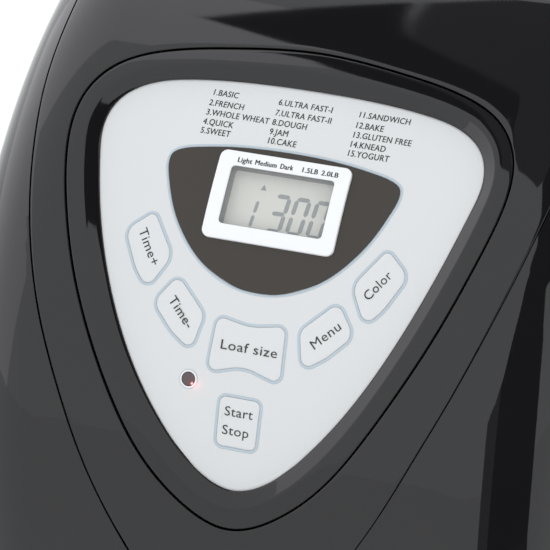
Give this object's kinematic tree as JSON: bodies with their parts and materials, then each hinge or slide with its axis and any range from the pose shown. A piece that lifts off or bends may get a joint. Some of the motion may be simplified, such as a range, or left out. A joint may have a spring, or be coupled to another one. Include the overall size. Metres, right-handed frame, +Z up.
{
  "type": "bread machine",
  "caption": "Countertop bread machine: rounded glossy body, hinged lid with window, shield-shaped sloping control panel, removable pan with kneading paddle, belt drive and heater.",
  "frame": {"origin": "on the table under the middle of the machine", "axes": "+X to the machine's right as seen from the front, -Y towards the user, +Z up"},
  "size_m": [0.224, 0.352, 0.29],
  "materials": {
    "gloss_black": "high-gloss moulded black plastic",
    "black_satin": "fine-textured black plastic",
    "panel_white": "cool white satin plastic with printed legends",
    "key_white": "cool white key caps",
    "bezel_white": "bright white plastic",
    "shield_brown": "dark warm smoked plastic",
    "clear": "clear window",
    "lcd": "grey display glass",
    "led_red": "red lamp lens",
    "board_green": "circuit board",
    "electronics": "moulded component bodies",
    "rubber": "soft black rubber",
    "gasket": "grey silicone",
    "steel": "zinc plated or plain steel",
    "aluminised": "aluminised steel sheet",
    "nonstick": "dark non-stick coating on aluminium",
    "heater_metal": "dull sheath of the heating element",
    "ceramic": "white glazed ceramic",
    "bronze": "oil-filled bronze",
    "cast_alloy": "die-cast alloy",
    "copper": "laminated core with copper windings",
    "belt": "ribbed drive belt",
    "smoked_glass": "tinted viewing window",
    "nylon": "natural nylon"
  },
  "bodies": {
    "housing": {"body_shell": "gloss_black", "front_cover": "gloss_black", "bezel_ring": "gloss_black", "control_panel": "panel_white", "display_shield": "shield_brown", "lcd_bezel": "bezel_white", "lcd_lens": "clear", "lcd_module": "lcd", "led_lens": "led_red", "control_board": "board_green", "key_switches": "electronics", "base_plate": "black_satin", "rubber_feet": "rubber", "base_screws": "steel", "top_deck": "black_satin", "hinge_lugs": "black_satin", "hinge_pins": "steel", "oven_chamber": "aluminised", "chamber_posts": "aluminised", "heater_element": "heater_metal", "heater_insulators": "ceramic", "heater_clips": "steel", "temperature_probe": "steel", "drive_bracket": "cast_alloy", "shaft_bushes": "bronze", "drive_belt": "belt", "motor_frame": "steel", "motor_stator": "copper", "motor_mounts": "rubber", "motor_capacitor": "electronics", "power_board": "board_green", "transformer": "electronics", "relays": "electronics", "cord_inlet": "black_satin"},
    "lid": {"lid_outer": "gloss_black", "lid_liner": "aluminised", "lid_screws": "steel", "lid_gasket": "gasket", "lid_window": "smoked_glass", "lid_handle": "black_satin"},
    "pan": {"pan_body": "nonstick", "pan_foot": "cast_alloy", "pan_seal": "gasket"},
    "bail": {"pan_handle": "steel"},
    "spindle": {"pan_spindle": "steel", "pan_coupling": "cast_alloy"},
    "paddle": {"kneading_paddle": "nonstick"},
    "drive": {"drive_shaft": "steel", "drive_dog": "cast_alloy", "large_pulley": "nylon"},
    "motor": {"motor_rotor": "steel", "motor_pulley": "cast_alloy"},
    "time_plus_button": {"time_plus_key": "key_white"},
    "time_minus_button": {"time_minus_key": "key_white"},
    "loaf_size_button": {"loaf_size_key": "key_white"},
    "menu_button": {"menu_key": "key_white"},
    "color_button": {"color_key": "key_white"},
    "start_stop_button": {"start_stop_key": "key_white"}
  },
  "joints": [
    {"name": "lid_hinge", "type": "hinge", "parent": "housing", "child": "lid", "pos_m": [0, 0.15894, 0.26764], "axis": [-1, 0, 0], "range_deg": [0, 85]},
    {"name": "pan_lift", "type": "slide", "parent": "housing", "child": "pan", "axis": [0, 0, 1], "range_m": [0, 0.01]},
    {"name": "bail_swing", "type": "hinge", "parent": "pan", "child": "bail", "pos_m": [0, 0.055, 0.196], "axis": [-1, 0, 0], "range_deg": [0, 180]},
    {"name": "spindle_spin", "type": "hinge", "parent": "pan", "child": "spindle", "pos_m": [0, 0.055, 0.08], "axis": [0, 0, 1], "continuous": true},
    {"name": "paddle_lift", "type": "slide", "parent": "spindle", "child": "paddle", "axis": [0, 0, 1], "range_m": [0, 0.018]},
    {"name": "drive_spin", "type": "hinge", "parent": "housing", "child": "drive", "pos_m": [0, 0.055, 0.04], "axis": [0, 0, 1], "continuous": true},
    {"name": "motor_spin", "type": "hinge", "parent": "housing", "child": "motor", "pos_m": [0, -0.1, 0.04], "axis": [0, 0, 1], "continuous": true},
    {"name": "time_plus_press", "type": "slide", "parent": "housing", "child": "time_plus_button", "axis": [0, 0.8387, -0.5446], "range_m": [0, 0.0008], "stiffness_N_per_m": 500},
    {"name": "time_minus_press", "type": "slide", "parent": "housing", "child": "time_minus_button", "axis": [0, 0.8387, -0.5446], "range_m": [0, 0.0008], "stiffness_N_per_m": 500},
    {"name": "loaf_size_press", "type": "slide", "parent": "housing", "child": "loaf_size_button", "axis": [0, 0.8387, -0.5446], "range_m": [0, 0.0008], "stiffness_N_per_m": 500},
    {"name": "menu_press", "type": "slide", "parent": "housing", "child": "menu_button", "axis": [0, 0.8387, -0.5446], "range_m": [0, 0.0008], "stiffness_N_per_m": 500},
    {"name": "color_press", "type": "slide", "parent": "housing", "child": "color_button", "axis": [0, 0.8387, -0.5446], "range_m": [0, 0.0008], "stiffness_N_per_m": 500},
    {"name": "start_stop_press", "type": "slide", "parent": "housing", "child": "start_stop_button", "axis": [0, 0.8387, -0.5446], "range_m": [0, 0.0008], "stiffness_N_per_m": 500}
  ],
  "couplings": [
    {"joint": "drive_spin", "follows": "motor_spin", "ratio": 0.1875},
    {"joint": "spindle_spin", "follows": "motor_spin", "ratio": 0.1875}
  ]
}
